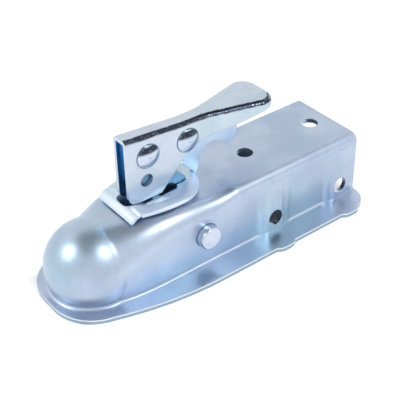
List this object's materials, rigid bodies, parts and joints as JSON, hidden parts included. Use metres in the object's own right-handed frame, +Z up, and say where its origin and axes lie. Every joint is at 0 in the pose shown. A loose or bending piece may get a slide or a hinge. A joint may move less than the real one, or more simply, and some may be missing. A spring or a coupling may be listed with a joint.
{
  "type": "trailer coupling head",
  "caption": "Straight channel trailer coupler with a pressed ball socket, a flanged body, a saddle plate, an over-centre lever with a finger trigger, and an adjustable ball clamp",
  "frame": {"origin": "centre of the seated tow ball", "axes": "+X to the open rear end of the channel, -Y to the side with the round pin head, +Z up"},
  "size_m": [0.2093, 0.0934, 0.0895],
  "materials": {
    "coupler_housing": "bright zinc plate",
    "latch_saddle": "bright zinc plate",
    "lever_handle": "bright zinc plate",
    "draw_link": "zinc plate",
    "trigger": "zinc plate",
    "ball_clamp": "zinc plate",
    "clamp_pin": "bright zinc plate",
    "lever_pivot_rivet": "bright zinc plate",
    "trigger_pivot_rivet": "bright zinc plate",
    "link_washer_near": "zinc plate",
    "link_washer_far": "zinc plate",
    "trigger_spacer": "zinc plate",
    "trigger_spring": "spring steel",
    "clamp_spring": "spring steel",
    "spring_washer": "zinc plate",
    "nut_washer": "zinc plate",
    "adjuster_nut": "zinc plate",
    "nut_insert": "nylon"
  },
  "bodies": {
    "housing": {"coupler_housing": "coupler_housing", "latch_saddle": "latch_saddle", "clamp_pin": "clamp_pin", "spring_washer": "spring_washer", "clamp_spring": "clamp_spring"},
    "link": {"draw_link": "draw_link", "nut_washer": "nut_washer", "adjuster_nut": "adjuster_nut", "nut_insert": "nut_insert"},
    "lever": {"lever_handle": "lever_handle", "lever_pivot_rivet": "lever_pivot_rivet", "trigger_pivot_rivet": "trigger_pivot_rivet", "link_washer_near": "link_washer_near", "link_washer_far": "link_washer_far", "trigger_spacer": "trigger_spacer", "trigger_spring": "trigger_spring"},
    "trigger": {"trigger": "trigger"},
    "clamp": {"ball_clamp": "ball_clamp"}
  },
  "joints": [
    {"name": "draw_slide", "type": "slide", "parent": "housing", "child": "link", "axis": [0, 0, -1], "range_m": [0, 0.0081]},
    {"name": "lever_tilt", "type": "hinge", "parent": "link", "child": "lever", "pos_m": [0.0386, 0, 0.0598], "axis": [0, -1, 0], "range_deg": [0, 80]},
    {"name": "trigger_squeeze", "type": "hinge", "parent": "lever", "child": "trigger", "pos_m": [0.0658, 0, 0.059], "axis": [0, -1, 0], "range_deg": [0, 10], "stiffness_Nm_per_rad": 0.3, "springref_deg": -17.19},
    {"name": "clamp_tilt", "type": "hinge", "parent": "housing", "child": "clamp", "pos_m": [0.061, 0, 0.0075], "axis": [0, -1, 0], "range_deg": [0, 13.5], "deforming": ["clamp_spring"]}
  ],
  "couplings": [
    {"joint": "draw_slide", "follows": "lever_tilt", "m_per_rad": 0.0057296},
    {"joint": "clamp_tilt", "follows": "lever_tilt", "ratio": 0.1675}
  ]
}
